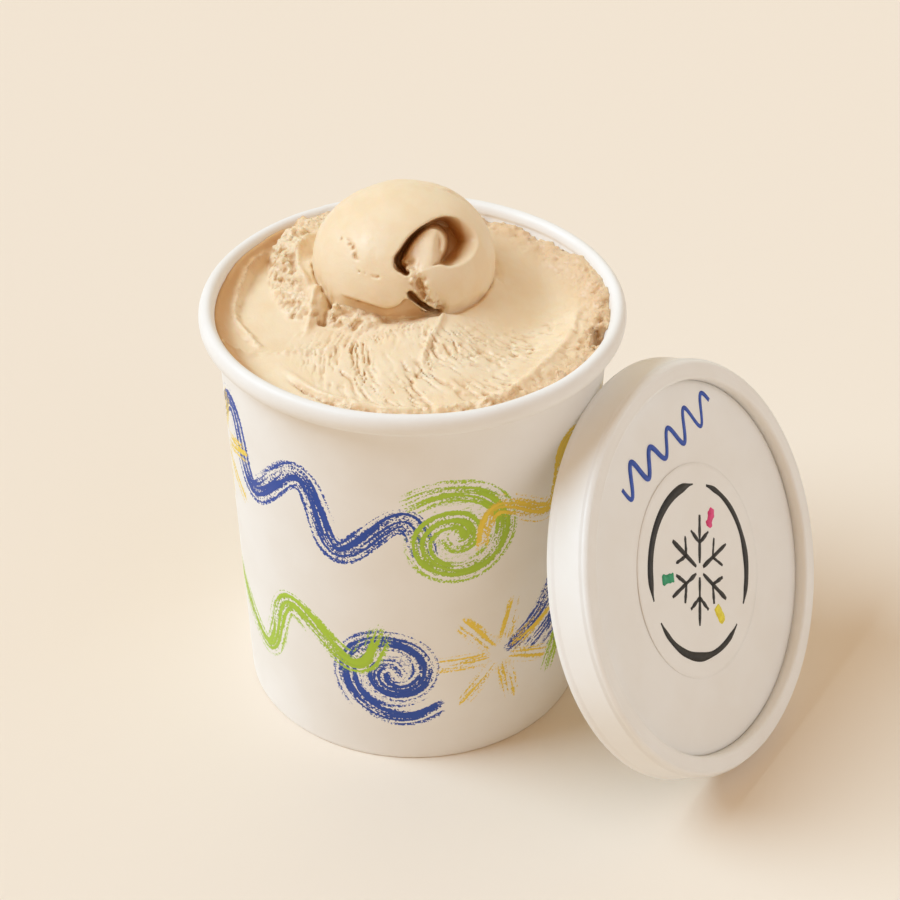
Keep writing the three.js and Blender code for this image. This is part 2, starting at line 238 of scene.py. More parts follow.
def broken(angle, waves):
    """An uneven wave between 0 and 1 round the cup, for broken edges."""
    turn = np.radians(angle)
    total = np.sin(waves * turn) + np.sin(1.7 * waves * turn + 2) + np.sin(2.6 * waves * turn + 4)
    return 0.5 + total / 6


def spline(points, steps):
    """Points of a Catmull-Rom curve through the given points, with any values that go with them."""
    given = np.array(points, dtype=float)
    given = np.vstack([2 * given[0] - given[1], given, 2 * given[-1] - given[-2]])
    run = np.linspace(0, len(points) - 1 - 1e-6, steps)
    i = run.astype(int)
    t = (run - i)[:, None]
    a, b, c, d = given[i], given[i + 1], given[i + 2], given[i + 3]
    return 0.5 * (2 * b + (c - a) * t + (2 * a - 5 * b + 4 * c - d) * t**2 + (3 * b - a - 3 * c + d) * t**3)


# Seeded noise on arrays of points

def hash01(cells, seed):
    """A repeatable number from 0 to 1 for each whole-numbered cell."""
    k = cells.astype(np.int64).astype(np.uint32)
    h = np.uint32(seed * 374761393 % 2**32)
    for axis, prime in zip(range(k.shape[-1]), (668265263, 2246822519, 3266489917)):
        h = (h ^ (k[..., axis] * np.uint32(prime))) * np.uint32(2654435761)
        h = h ^ (h >> np.uint32(15))
    return (h & np.uint32(0xFFFFFF)).astype(np.float32) / 2**24


def noise(points, size, seed):
    """Smooth noise from -1 to 1 whose lumps are about the given size."""
    q = points / size
    base = np.floor(q)
    t = q - base
    t = t * t * (3 - 2 * t)
    dims = q.shape[-1]
    total = 0
    for corner in np.ndindex(*(2,) * dims):
        weight = 1
        for axis, step in enumerate(corner):
            weight = weight * (t[..., axis] if step else 1 - t[..., axis])
        total = total + weight * hash01(base + np.array(corner), seed)
    return 2 * total - 1


def cell_noise(points, size, seed):
    """Distance to the nearest of one scattered point a cell, about 0 to 1."""
    q = points / size
    base = np.floor(q)
    nearest = np.full(q.shape[:-1], 9.0, dtype=np.float32)
    for corner in np.ndindex(3, 3, 3):
        cell = base + np.array(corner) - 1
        spot = np.stack([hash01(cell, seed + k) for k in range(3)], -1)
        nearest = np.minimum(nearest, ((cell + spot - q) ** 2).sum(-1))
    return np.sqrt(nearest)


# Meshes

def to_scene(points):
    """Millimetres about the cup's axis to metres in the part's frame."""
    return np.asarray(points, dtype=float) * MM + CUP_AXIS


def lid_matrix():
    turn = Matrix.Rotation(LID_FACING, 4, "Z") @ Matrix.Rotation(math.pi / 2 - LID_TILT, 4, "Y")
    return Matrix.Translation((*LID_CENTRE, LID_RADIUS * math.cos(LID_TILT))) @ turn


def on_lid(points):
    """Points in the lid's own frame to the cup's frame."""
    m = np.array(lid_matrix())
    return np.asarray(points, dtype=float) @ m[:3, :3].T + m[:3, 3]


def placed(name, data):
    made = bpy.data.objects.new(name, data)
    bpy.context.scene.collection.objects.link(made)
    return made


def piece(name, points, faces, material, slot, replaced=()):
    mesh = bpy.data.meshes.new(name)
    mesh.from_pydata(to_scene(points).tolist(), [], [list(map(int, f)) for f in faces])
    mesh.polygons.foreach_set("use_smooth", [True] * len(mesh.polygons))
    mesh.materials.append(material)
    mesh.update()
    made = placed(name, mesh)
    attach(made, "root")
    if replaced:
        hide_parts(*replaced)
    return made


def lathe(profile, sides):
    """A closed ring: the profile turned round Z, as points by side and place in the profile, and quads."""
    profile = np.array(profile, dtype=float)
    turn = np.linspace(0, 2 * math.pi, sides, endpoint=False)
    r, z = profile[:, 0], profile[:, 1]
    points = np.stack([np.outer(np.cos(turn), r), np.outer(np.sin(turn), r), np.tile(z, (sides, 1))], -1)
    count = len(profile)
    i, j = np.meshgrid(np.arange(sides), np.arange(count), indexing="ij")
    after, above = (i + 1) % sides, (j + 1) % count
    quads = np.stack([i * count + j, after * count + j, after * count + above, i * count + above], -1)
    return points, quads.reshape(-1, 4)


def disc(radius, low, high, sides, rings):
    """A flat closed disc with rounded edge faces, as points and faces."""
    edge = (high - low) / 2
    radii = [radius * (k + 1) / rings for k in range(rings - 1)] + [radius - 0.4 * edge]
    outline = [(r, high) for r in radii] + [(radius, high - 0.4 * edge), (radius, low + 0.4 * edge)]
    outline += [(r, low) for r in reversed(radii)]
    ring_points, quads = lathe(outline, sides)
    count = len(outline)
    open_quads = [q for q in quads if not {q[0] % count, q[3] % count} == {0, count - 1}]
    points = np.vstack([ring_points.reshape(-1, 3), [(0, 0, high), (0, 0, low)]])
    top, bottom = len(points) - 2, len(points) - 1
    faces = [tuple(reversed(q)) for q in open_quads]
    for i in range(sides):
        after = (i + 1) % sides
        faces.append((top, i * count, after * count))
        faces.append((bottom, after * count + count - 1, i * count + count - 1))
    return points, faces


def arc(radius, height, half_width, half_height, start, end, steps):
    turn = np.radians(np.linspace(start, end, steps + 1))
    return [(radius + half_width * math.cos(a), height + half_height * math.sin(a)) for a in turn]


def widen(points, grow):
    """Moves points away from the Z axis, in place, by a share of their radius."""
    points[..., :2] *= (1 + grow)[..., None]


def wall_radius(height):
    return mix(BASE_RADIUS, NECK_RADIUS, height / NECK_HEIGHT)


def inside_radius(height):
    """The wall's inner face, which flares a little under the rolled rim."""
    return wall_radius(height) - BOARD + FLARE["step"] * smoothstep(height, FLARE["from"], FLARE["to"])


# Ice cream shape

def ledge_shape(x, y):
    """The torn slope's share of its full rise at each place, and that rise."""
    away, angle = polar(x, y, BALL_CENTRE)
    angles, *values = np.array(LEDGE).T
    reach, width, rise = (np.interp(angle % 360, angles, v) for v in values)
    return 1 - smoothstep(away, reach - width, reach + 0.3), rise


def line_distance(x, y, path, steps=60):
    """Distance to a smooth line through the path's points, and how far along it the nearest point is."""
    nearest = np.full(x.shape, 1e3)
    share = np.zeros(x.shape)
    for i, point in enumerate(spline(path, steps)):
        away = np.hypot(x - point[0], y - point[1])
        share = np.where(away < nearest, i / (steps - 1), share)
        nearest = np.minimum(nearest, away)
    return nearest, share


def ridge(x, y, path, height, width):
    away, share = line_distance(x, y, path)
    return height * bump(away, width) * smoothstep(share, -0.05, 0.12) * (1 - smoothstep(share, 0.85, 1.02))


def swath_side(x, y):
    """Distance in front of the last sweep's edge, and the distance and share run along it."""
    start, end = np.array(SWATH["from"], float), np.array(SWATH["to"], float)
    length = np.linalg.norm(end - start)
    along = (end - start) / length
    run = (x - start[0]) * along[0] + (y - start[1]) * along[1]
    share = np.clip(run / length, 0, 1)
    bow = SWATH["bow"] * np.sin(math.pi * share)
    side = (x - start[0]) * -along[1] + (y - start[1]) * along[0] - bow
    return side, run, share


def swath_height(x, y):
    side, run, share = swath_side(x, y)
    height = mix(SWATH["height"], SWATH["end_height"], share)
    lip = SWATH["lip"] * bump(side - 0.6, 0.8) * smoothstep(share, 0.05, 0.3)
    sweep = height * (1 - smoothstep(side, 0, SWATH["fade"])) + lip
    return sweep * smoothstep(side, -SWATH["edge"], SWATH["edge"]) * smoothstep(run, -20, 4)


def tear_share(x, y):
    away, angle = polar(x, y, SWATH["from"])
    inner = smoothstep(away, TEARS["near"], 3 * TEARS["near"])
    patchy = smoothstep(noise(paired(x, y), 6.0, 17), -0.7, 0.3)
    outer = 1 - smoothstep(away, 0.7 * TEARS["far"], TEARS["far"])
    return inner * outer * within(angle, TEARS) * mix(0.3, 1, patchy)


def tear_depth(x, y):
    """Tears like those in bark, which fan out over the front from beside the scoop."""
    away, angle = polar(x, y, SWATH["from"])
    flat = paired(x, y)
    across = np.radians(angle) * (10 + 0.7 * away) + 0.8 * noise(flat, 2.6, 11)
    along = away + 1.2 * noise(flat, 2.5, 13)
    plates = noise(paired(across, along) / PLATE_SIZE, 1.0, 3)
    cracks = noise(paired(across, along) / CRACK_SIZE + [40, 0], 1.0, 5)
    broken_up = smoothstep(noise(flat, 3.0, 19), -0.5, 0.3)
    torn = 0.6 * bump(plates, 0.35) * broken_up + 0.9 * smoothstep(cracks, 0.15, 0.5)
    return TEARS["depth"] * tear_share(x, y) * torn


def pit_share(x, y):
    return bump(line_distance(x, y, PIT["line"], 12)[0], PIT["width"])


def scoop_forms(x, y):
    """Heights round the scoop: the heap that it stands on, and the dish to its right."""
    away, angle = polar(x, y, BALL_CENTRE)
    dish = DISH["depth"] * bump(away - DISH["reach"], DISH["width"]) * within(angle, DISH)
    collar = COLLAR["height"] * (1 - smoothstep(away, COLLAR["near"], COLLAR["far"])) * within(angle, COLLAR)
    share, rise = ledge_shape(x, y)
    return np.maximum.reduce([collar, swath_height(x, y), share * rise]) - dish


def wall_forms(x, y):
    """Heights near the wall: crags, the trough beside them, the pit, the film and the rise at the back."""
    radius, angle = polar(x, y)
    at_back = within(angle, BACK_RISE)
    hole = pit_share(x, y)
    crags = CRAGS["height"] * broken(angle, CRAGS["waves"]) * along_wall(radius, angle, CRAGS)
    crags = crags * (1 - 0.65 * at_back) * (1 - hole)
    trough = TROUGH["depth"] * along_wall(radius, angle, TROUGH)
    film = SMEAR["height"] * along_wall(radius, angle, SMEAR)
    back = BACK_RISE["height"] * smoothstep(radius, BACK_RISE["near"], BACK_RISE["far"]) * at_back
    return crags - trough - PIT["depth"] * hole + film + back


def surface_height(x, y):
    level = LEVEL["height"] + LEVEL["rise_x"] * x + LEVEL["rise_y"] * y
    lines = sum(ridge(x, y, *line) for line in LINES)
    sway = 0.25 * noise(paired(x, y), 9.0, 23)
    return level + scoop_forms(x, y) + wall_forms(x, y) + lines + sway - tear_depth(x, y)


def roll_frame(points):
    """Places as seen along the roll's axis: right, up, and depth under the ball's bare surface."""
    facing = np.array([0, -math.cos(ROLL_FACING), math.sin(ROLL_FACING)])
    upward = np.array([0, math.sin(ROLL_FACING), math.cos(ROLL_FACING)])
    p = points - BALL_CENTRE
    right, up, out = p[..., 0], p @ upward, p @ facing
    flat = p - out[..., None] * facing
    a = flat / BALL_AXES
    d = facing / BALL_AXES
    half = a @ d / (d @ d)
    surface = -half + np.sqrt(np.maximum(0, half**2 - ((a * a).sum(-1) - 1) / (d @ d)))
    return right - ROLL_OFFSET["right"], up - ROLL_OFFSET["up"], surface - out


def outline_distance(right, up, outline):
    """Distance to a closed outline, negative inside it."""
    points = spline(list(outline) + [outline[0]], 6 * len(outline))
    nearest = np.full(right.shape, 1e3)
    inside = np.zeros(right.shape, dtype=bool)
    for a, b in zip(points, np.roll(points, -1, axis=0)):
        edge = b - a
        share = ((right - a[0]) * edge[0] + (up - a[1]) * edge[1]) / max(edge @ edge, 1e-9)
        share = np.clip(share, 0, 1)
        nearest = np.minimum(nearest, np.hypot(right - a[0] - share * edge[0], up - a[1] - share * edge[1]))
        if a[1] != b[1]:
            crosses = (up < a[1]) != (up < b[1])
            inside ^= crosses & (right < a[0] + (up - a[1]) * edge[0] / edge[1])
    return np.where(inside, -nearest, nearest)


def tongue_depth(right, up):
    """How far the tongue lies under the ball's surface: least along its crest and its hooked end."""
    crest = spline(TONGUE_CREST, 60)
    share = line_distance(right, up, TONGUE_CREST)[1]
    beside = right - np.interp(up, crest[:, 1], crest[:, 0])
    left, inner = np.maximum(-beside, 0), np.maximum(beside, 0)
    sides = TONGUE["left"] * (np.hypot(left, 0.8) - 0.8) + TONGUE["right"] * inner**1.5
    sunk = TONGUE["start"] + TONGUE["end"] * share**1.5 + sides
    hook = TONGUE["hook"] + TONGUE["round_hook"] * line_distance(right, up, TONGUE_HOOK)[0] ** 1.5
    over_edge = np.maximum(0, outline_distance(right, up, TONGUE_EDGE) + 0.4)
    return smooth_min(sunk, hook, 0.6) + TONGUE["edge"] * over_edge


def layer_step(right, up):
    """The scoop's lower left steps in under the edge of its outer layer."""
    edge = spline(LAYER_EDGE, 40)
    below = np.interp(right, edge[:, 0], edge[:, 1]) - up
    span = smoothstep(right, *LAYER["from"]) * (1 - smoothstep(right, *LAYER["to"]))
    return (LAYER["step"] * smoothstep(below, 0, 0.4) - LAYER["lip"] * bump(below + 0.6, 0.6)) * span


def roll_depth(right, up):
    """Depth of the whole hollow: its spiral channel round the tongue, the seam and the step below."""
    edge = outline_distance(right, up, HOLLOW_EDGE)
    soft = smoothstep(right, -1.5, 5.0)
    share = np.clip(-edge / mix(*HOLLOW_WALL, soft), 0, 1)
    spiral = np.minimum(HOLLOW_DEPTH * share ** mix(*HOLLOW_POWER, soft), tongue_depth(right, up))
    spiral = np.where(edge < 0, spiral, 0)
    seam_share = np.clip(-outline_distance(right, up, ROLL_SEAM_EDGE) / ROLL_SEAM_WALL, 0, 1)
    seam = ROLL_SEAM_DEPTH * np.sqrt(1 - (1 - seam_share) ** 2)
    torn = TORN_DEPTH * bump(line_distance(right, up, TORN_EDGE)[0], 1.2)
    return np.maximum.reduce([spiral, seam, layer_step(right, up), torn])


def torn_share(right, up):
    """Where the roll is torn to crumbs: along its torn edge and at the tongue's foot."""
    edge = bump(line_distance(right, up, TORN_EDGE)[0], 1.5)
    foot = bump(line_distance(right, up, TONGUE_FOOT)[0], 1.1)
    return np.maximum(edge, foot)


class RollMap:
    """Values over the roll's face, worked out once on a fine grid and looked up from there."""

    def __init__(self):
        axes = [np.arange(low, high, MAP_STEP) for low, high in zip(MAP_LOW, MAP_HIGH)]
        right, up = np.meshgrid(*axes, indexing="ij")
        depth = roll_depth(right, up)
        slope = np.gradient(depth, MAP_STEP)
        steep = 1 / np.sqrt(1 + slope[0] ** 2 + slope[1] ** 2)
        pores = bump(line_distance(right, up, PORE_ROW, 40)[0], 0.5)
        self.tables = {"depth": depth, "steep": steep, "torn": torn_share(right, up), "pores": pores}
        self.size = depth.shape

    def look_up(self, name, right, up):
        i = np.clip((right - MAP_LOW[0]) / MAP_STEP, 0, self.size[0] - 1.001)
        j = np.clip((up - MAP_LOW[1]) / MAP_STEP, 0, self.size[1] - 1.001)
        i0, j0 = i.astype(int), j.astype(int)
        s, t = i - i0, j - j0
        table = self.tables[name]
        low = mix(table[i0, j0], table[i0 + 1, j0], s)
        high = mix(table[i0, j0 + 1], table[i0 + 1, j0 + 1], s)
        return mix(low, high, t)


def smooth_min(a, b, radius):
    h = np.maximum(radius - np.abs(a - b), 0) / radius
    return np.minimum(a, b) - h * h * radius / 4


def ellipsoid(points, centre, axes):
    p = points - centre
    near = np.linalg.norm(p / axes, axis=-1)
    return near * (near - 1) / np.maximum(np.linalg.norm(p / axes**2, axis=-1), 1e-6)


def ball_field(points, roll):
    ball = ellipsoid(points, BALL_CENTRE, BALL_AXES)
    ball = ball - BALL_LUMPS["rise"] * noise(points, BALL_LUMPS["size"], 31)
    ball = ball - WRINKLES["rise"] * noise(points, WRINKLES["size"], 33)
    right, up, depth = roll_frame(points)
    cut = (roll.look_up("depth", right, up) - depth) * roll.look_up("steep", right, up)
    cut = np.where(points[..., 1] < BALL_CENTRE[1] + ROLL_REACH, cut, NO_CUT)
    return -smooth_min(-ball, -cut, 0.5)


def crumb_share(points):
    """Where the surface is torn to crumbs: the ledge, the crags by the wall and the lines' edges."""
    x, y = points[..., 0], points[..., 1]
    radius, angle = polar(x, y)
    share, rise = ledge_shape(x, y)
    torn = smoothstep(share, 0.02, 0.2)
    from_ball = polar(x, y, BALL_CENTRE)[0] - BALL_AXES[0]
    ledge = torn * smoothstep(rise, 2.0, 4.5) * smoothstep(from_ball, 1.5, 4.5)
    ledge = ledge * (1 - 0.6 * bump(line_distance(x, y, FLAP, 30)[0], 1.0))
    front_ledge = torn * smoothstep(rise, 2.0, 3.4) * smoothstep(x, -22, -17)
    crags = 1.4 * bump(radius - CRAGS["radius"], 1.6 * CRAGS["width"]) * within(angle, CRAGS)
    crags = crags * (1 - 0.5 * within(angle, BACK_RISE))
    left = 0.35 * bump(line_distance(x, y, LEFT_RIDGE, 40)[0], 1.2)
    front = smoothstep(radius, FRONT_CRUMBS["near"], FRONT_CRUMBS["far"]) * within(angle, FRONT_CRUMBS)
    side, run = swath_side(x, y)[:2]
    crest = 0.45 * bump(side, 1.5) * smoothstep(run, -4, 3) * smoothstep(radius, 0, 8)
    return np.maximum.reduce([ledge, front_ledge, crags, left, 0.8 * front, crest])


def steps_between(low, high, step):
    return [np.arange(a, b, step, dtype=np.float32) for a, b in zip(low, high)]


def fill_field(axes):
    """The ice cream in the cup as a field that is negative inside it, without crumbs."""
    xs, ys, zs = axes
    x, y = np.meshgrid(xs, ys, indexing="ij")
    height = surface_height(x, y).astype(np.float32)
    rise_x, rise_y = np.gradient(height, xs[1] - xs[0])
    steep = 1 / np.sqrt(1 + np.minimum(rise_x**2 + rise_y**2, 4))
    return (zs[None, None, :] - height[..., None]) * steep[..., None]


def scoop_field(axes, roll):
    points = np.stack(np.meshgrid(*axes, indexing="ij"), -1).astype(np.float64)
    return ball_field(points, roll).astype(np.float32)


def contact_gap(fill, scoop, axes):
    """A ragged groove along the line where the scoop meets the ice cream in the cup."""
    near = fill**2 + scoop**2 < 16
    points = np.stack([a[i] for a, i in zip(axes, np.nonzero(near))], -1).astype(np.float64)
    gap = np.zeros_like(scoop)
    deep = np.exp(-(fill[near] ** 2 + scoop[near] ** 2) / GROOVE["width"] ** 2)
    gap[near] = deep * (1 + GROOVE["ragged"] * noise(points, 2.0, 37))
    return gap


def fill_in_cup(axes, roll):
    """The ice cream in the cup with its crumbs, grooved where the scoop sits on it."""
    field = fill_field(axes)
    low, high = BALL_CENTRE - BALL_AXES - BAND, BALL_CENTRE + BALL_AXES + BAND
    block = tuple(slice(*np.searchsorted(a, span)) for a, span in zip(axes, zip(low, high)))
    own_axes = [a[span] for a, span in zip(axes, block)]
    field[block] += GROOVE["fill"] * contact_gap(field[block], scoop_field(own_axes, roll), own_axes)
    roughen(field, axes, crumb_share, **FILL_CRUMBS)
    x, y = np.meshgrid(axes[0], axes[1], indexing="ij")
    wall = np.hypot(x, y)[..., None] - inside_radius(axes[2])[None, None, :] - 0.12
    return np.maximum(field, wall)


def scoop_on_top(axes, roll):
    """The rolled scoop with its torn places, cut off flat inside the ice cream below."""
    field = scoop_field(axes, roll)
    field += GROOVE["scoop"] * contact_gap(fill_field(axes), field, axes)
    roughen(field, axes, lambda at: scoop_torn(at, roll), **SCOOP_CRUMBS)
    pierce(field, axes, roll)
    return np.maximum(field, SCOOP_BOTTOM - axes[2][None, None, :])


def near_points(field, axes):
    """Which cells lie near the surface, and their places."""
    near = np.abs(field) < BAND
    index = np.nonzero(near)
    return near, np.stack([a[i] for a, i in zip(axes, index)], -1).astype(np.float64)


def scoop_torn(points, roll):
    right, up, depth = roll_frame(points)
    on_roll = (points[:, 1] < BALL_CENTRE[1]) & (np.abs(depth) < 6) & (up > -16)
    return np.where(on_roll, 1.6 * roll.look_up("torn", right, up), 0)


def roughen(field, axes, share_at, size, rise):
    """Adds soft lumps everywhere near the surface, and crumbs by their share, in place."""
    near, points = near_points(field, axes)
    change = sum(h * noise(points, s, 41 + 2 * k) for k, (h, s) in enumerate(SOFT_LUMPS))
    share = share_at(points)
    crumbs = share > 0.04
    p = points[crumbs]
    lumps = sum(h * noise(p, s * size, 51 + 2 * k) for k, (h, s) in enumerate(LUMPS))
    grains = sum(h * (cell_noise(p, s * size, 57 + 4 * k) - mid) for k, (h, s, mid) in enumerate(GRAINS))
    change[crumbs] += share[crumbs] * rise * (lumps + grains)
    field[near] += change.astype(np.float32)


def pierce(field, axes, roll):
    """Adds the row of pores to the scoop, in place."""
    near, points = near_points(field, axes)
    right, up, depth = roll_frame(points)
    on_roll = (points[:, 1] < BALL_CENTRE[1]) & (np.abs(depth) < 2)
    pores = np.where(on_roll, roll.look_up("pores", right, up), 0)
    field[near] += (PORE_DEPTH * pores * smoothstep(noise(points, 0.8, 67), 0.0, 0.5)).astype(np.float32)


def surface_nets(field, axes):
    """Meshes the field's zero level: points, and quads that face out."""
    inside = field < 0
    corners = np.array(list(np.ndindex(2, 2, 2)))
    size = np.array(field.shape) - 1
    count = np.zeros(size, dtype=np.uint8)
    for c in corners:
        count += inside[c[0]:c[0] + size[0], c[1]:c[1] + size[1], c[2]:c[2] + size[2]]
    mixed = (count > 0) & (count < 8)
    cells = np.argwhere(mixed)
    ids = np.full(size, -1, dtype=np.int64)
    ids[mixed] = np.arange(len(cells))
    values = np.stack([field[tuple((cells + c).T)] for c in corners], -1)
    total = np.zeros((len(cells), 3))
    crossings = np.zeros(len(cells))
    for a in range(8):
        for b in range(a + 1, 8):
            if np.abs(corners[a] - corners[b]).sum() != 1:
                continue
            crossed = (values[:, a] < 0) != (values[:, b] < 0)
            share = np.where(crossed, values[:, a] / np.where(crossed, values[:, a] - values[:, b], 1), 0)
            total += crossed[:, None] * (corners[a] + share[:, None] * (corners[b] - corners[a]))
            crossings += crossed
    low, step = np.array([a[0] for a in axes]), axes[0][1] - axes[0][0]
    points = low + step * (cells + total / crossings[:, None])
    return points, np.vstack([crossing_quads(inside, ids, axis) for axis in range(3)])


def crossing_quads(inside, ids, axis):
    """One quad across each grid edge along an axis whose ends lie on two sides of the surface."""
    here = np.moveaxis(inside, axis, 0)
    cell = np.moveaxis(ids, axis, 0)
    first, second = here[:-1, 1:-1, 1:-1], here[1:, 1:-1, 1:-1]
    i, j, k = np.nonzero(first != second)
    ring = [cell[i, j, k], cell[i, j + 1, k], cell[i, j + 1, k + 1], cell[i, j, k + 1]]
    quads = np.stack(ring, -1)
    back = first[i, j, k] == (axis == 1)
    quads[back] = quads[back][:, ::-1]
    return quads


def drop_loose_bits(edit):
    """Deletes every crumb that isn't joined to the main body."""
    start = min(edit.verts, key=lambda v: v.co.z)
    reached = {start}
    waiting = [start]
    while waiting:
        for e in waiting.pop().link_edges:
            for v in e.verts:
                if v not in reached:
                    reached.add(v)
                    waiting.append(v)
    bmesh.ops.delete(edit, geom=[v for v in edit.verts if v not in reached], context="VERTS")


def close_below(edit, low):
    """Carries the open lower edge of the ice cream down to the cup's bottom and closes it."""
    rim = [e for e in edit.edges if e.is_boundary]
    made = bmesh.ops.extrude_edge_only(edit, edges=rim)["geom"]
    narrow = inside_radius(low) / inside_radius(GRID_LOW[2])
    for v in made:
        if isinstance(v, bmesh.types.BMVert):
            v.co.x = mix(CUP_AXIS[0], v.co.x, narrow)
            v.co.y = mix(CUP_AXIS[1], v.co.y, narrow)
            v.co.z = low * MM
    bmesh.ops.holes_fill(edit, edges=[e for e in edit.edges if e.is_boundary], sides=0)
    bmesh.ops.recalc_face_normals(edit, faces=edit.faces)


def clean_up(obj, low=None):
    """Drops a piece's loose crumbs and, where a lower end is given, carries it down to there."""
    edit = bmesh.new()
    edit.from_mesh(obj.data)
    drop_loose_bits(edit)
    if low is not None:
        close_below(edit, low)
    edit.to_mesh(obj.data)
    edit.free()


def blurred(field, passes):
    """The field smoothed over its near neighbours."""
    for _ in range(passes):
        for axis in range(3):
            here = np.moveaxis(field, axis, 0)
            before, after = np.concatenate([here[:1], here[:-1]]), np.concatenate([here[1:], here[-1:]])
            field = np.moveaxis((before + 2 * here + after) / 4, 0, axis)
    return field


def sample(field, axes, points):
    """The field's value at each point, between its nearest cells."""
    low = np.array([a[0] for a in axes])
    place = np.clip((points - low) / (axes[0][1] - axes[0][0]), 0, np.array(field.shape) - 1.001)
    base = place.astype(int)
    t = place - base
    total = 0
    for corner in np.ndindex(2, 2, 2):
        weight = np.where(np.array(corner) == 1, t, 1 - t).prod(-1)
        total = total + weight * field[tuple((base + corner).T)]
    return total


def gap_painted_shade(field, axes, points):
    """Painted shade, 0 to 1: darker the deeper each point of the surface lies between its neighbours."""
    scale = ((axes[0][1] - axes[0][0]) / VOXEL) ** 2
    total = 0
    for passes, share, span in SHADED_GAP_PASSES:
        field = blurred(field, passes)
        total = total + share * smoothstep(-sample(field, axes, points) / scale, *span)
    return total


def wall_painted_shade(points):
    """Painted shade on the ice cream, 0 to 1: on the film at the left wall, on the crags and in the pit."""
    x, y = points[:, 0], points[:, 1]
    radius, angle = polar(x, y)
    film = PAINTED_SHADE_SHARES["film"] * smoothstep(radius, *PAINTED_SHADE_SHARES["wall_shade_span"]) * within(angle, SMEAR)
    crags = PAINTED_SHADE_SHARES["crags"] * bump(radius - CRAGS["radius"], 2 * CRAGS["width"]) * within(angle, CRAGS)
    return np.maximum.reduce([film, crags, pit_share(x, y)])


def hollow_painted_shade(points, roll):
    """Painted shade on the scoop, 0 to 1: darker the deeper each point lies in its hollows."""
    right, up, depth = roll_frame(points)
    cut = (points[:, 1] < BALL_CENTRE[1]) & (roll.look_up("depth", right, up) > 0.3) & (up > -15)
    return np.where(cut, np.clip((depth - PAINTED_SHADE_SHARES["hollow_from"]) / PAINTED_SHADE_SHARES["hollow_over"], 0, 1), 0)


def places_of(obj):
    """The piece's points in millimetres about the cup's axis."""
    places = np.empty(3 * len(obj.data.vertices))
    obj.data.vertices.foreach_get("co", places)
    return (places.reshape(-1, 3) - CUP_AXIS) / MM


def mark(obj, name, values, kind="FLOAT", key="value"):
    """Gives each of the piece's points a value that its material reads."""
    layer = obj.data.attributes.new(name, kind, "POINT")
    layer.data.foreach_set(key, values.astype(np.float32).ravel())


# Materials

def new_material(name, roughness):
    material = bpy.data.materials.new(name)
    material.use_nodes = True
    shader = material.node_tree.nodes["Principled BSDF"]
    shader.inputs["Roughness"].default_value = roughness
    return material, shader


class Nodes:
    """Short ways to add and link a material's nodes."""

    def __init__(self, material):
        self.tree = material.node_tree
        self.place = self.add("ShaderNodeTexCoord").outputs["Object"]

    def add(self, kind, **settings):
        node = self.tree.nodes.new(kind)
        for key, value in settings.items():
            setattr(node, key, value)
        return node

    def feed(self, socket, value):
        if isinstance(value, bpy.types.NodeSocket):
            self.tree.links.new(value, socket)
        else:
            socket.default_value = value

    def noise(self, size, detail=2.0, place=None, roughness=0.5):
        """Noise whose lumps are about the given size in millimetres."""
        node = self.add("ShaderNodeTexNoise")
        self.feed(node.inputs["Vector"], place or self.place)
        node.inputs["Scale"].default_value = 1 / (size * MM)
        node.inputs["Detail"].default_value = detail
        node.inputs["Roughness"].default_value = roughness
        return node.outputs["Fac"]

    def math(self, operation, a, b=0.0):
        node = self.add("ShaderNodeMath", operation=operation)
        self.feed(node.inputs[0], a)
        self.feed(node.inputs[1], b)
        return node.outputs[0]

    def ramp(self, value, low, high, start=0.0, end=1.0):
        node = self.add("ShaderNodeMapRange", interpolation_type="SMOOTHSTEP")
        parts = {"Value": value, "From Min": low, "From Max": high, "To Min": start, "To Max": end}
        for key, part in parts.items():
            self.feed(node.inputs[key], part)
        return node.outputs["Result"]

    def blend(self, share, a, b):
        node = self.add("ShaderNodeMix", data_type="RGBA")
        self.feed(node.inputs["Factor"], share)
        sockets = [s for s in node.inputs if s.type == "RGBA"]
        for socket, colour in zip(sockets, (a, b)):
            self.feed(socket, colour if isinstance(colour, bpy.types.NodeSocket) else (*colour, 1))
        return [s for s in node.outputs if s.type == "RGBA"][0]

    def attribute(self, name, output="Fac"):
        return self.add("ShaderNodeAttribute", attribute_name=name).outputs[output]

    def bump(self, height, distance, strength=1.0, normal=None):
        """A bump whose height of 1 stands for a distance in millimetres."""
        node = self.add("ShaderNodeBump")
        node.inputs["Strength"].default_value = strength
        node.inputs["Distance"].default_value = distance * MM
        self.feed(node.inputs["Height"], height)
        if normal is not None:
            self.feed(node.inputs["Normal"], normal)
        return node.outputs["Normal"]


ICE_CREAM_LIGHT = (0.91, 0.75, 0.53)
ICE_CREAM_DEEP = (0.89, 0.705, 0.47)
# Painted shade: the warm brown that the ice cream is darkened towards in its gaps, its hollows, by the left
# wall, on the crags and in the pit
ICE_CREAM_PAINTED_SHADE = (0.62, 0.33, 0.12)
PAPER_WHITE = (0.90, 0.885, 0.86)
LID_WHITE = (0.915, 0.91, 0.895)
INKS = {"blue": (0.012, 0.065, 0.40), "lime": (0.42, 0.62, 0.03), "yellow": (0.90, 0.66, 0.06)}


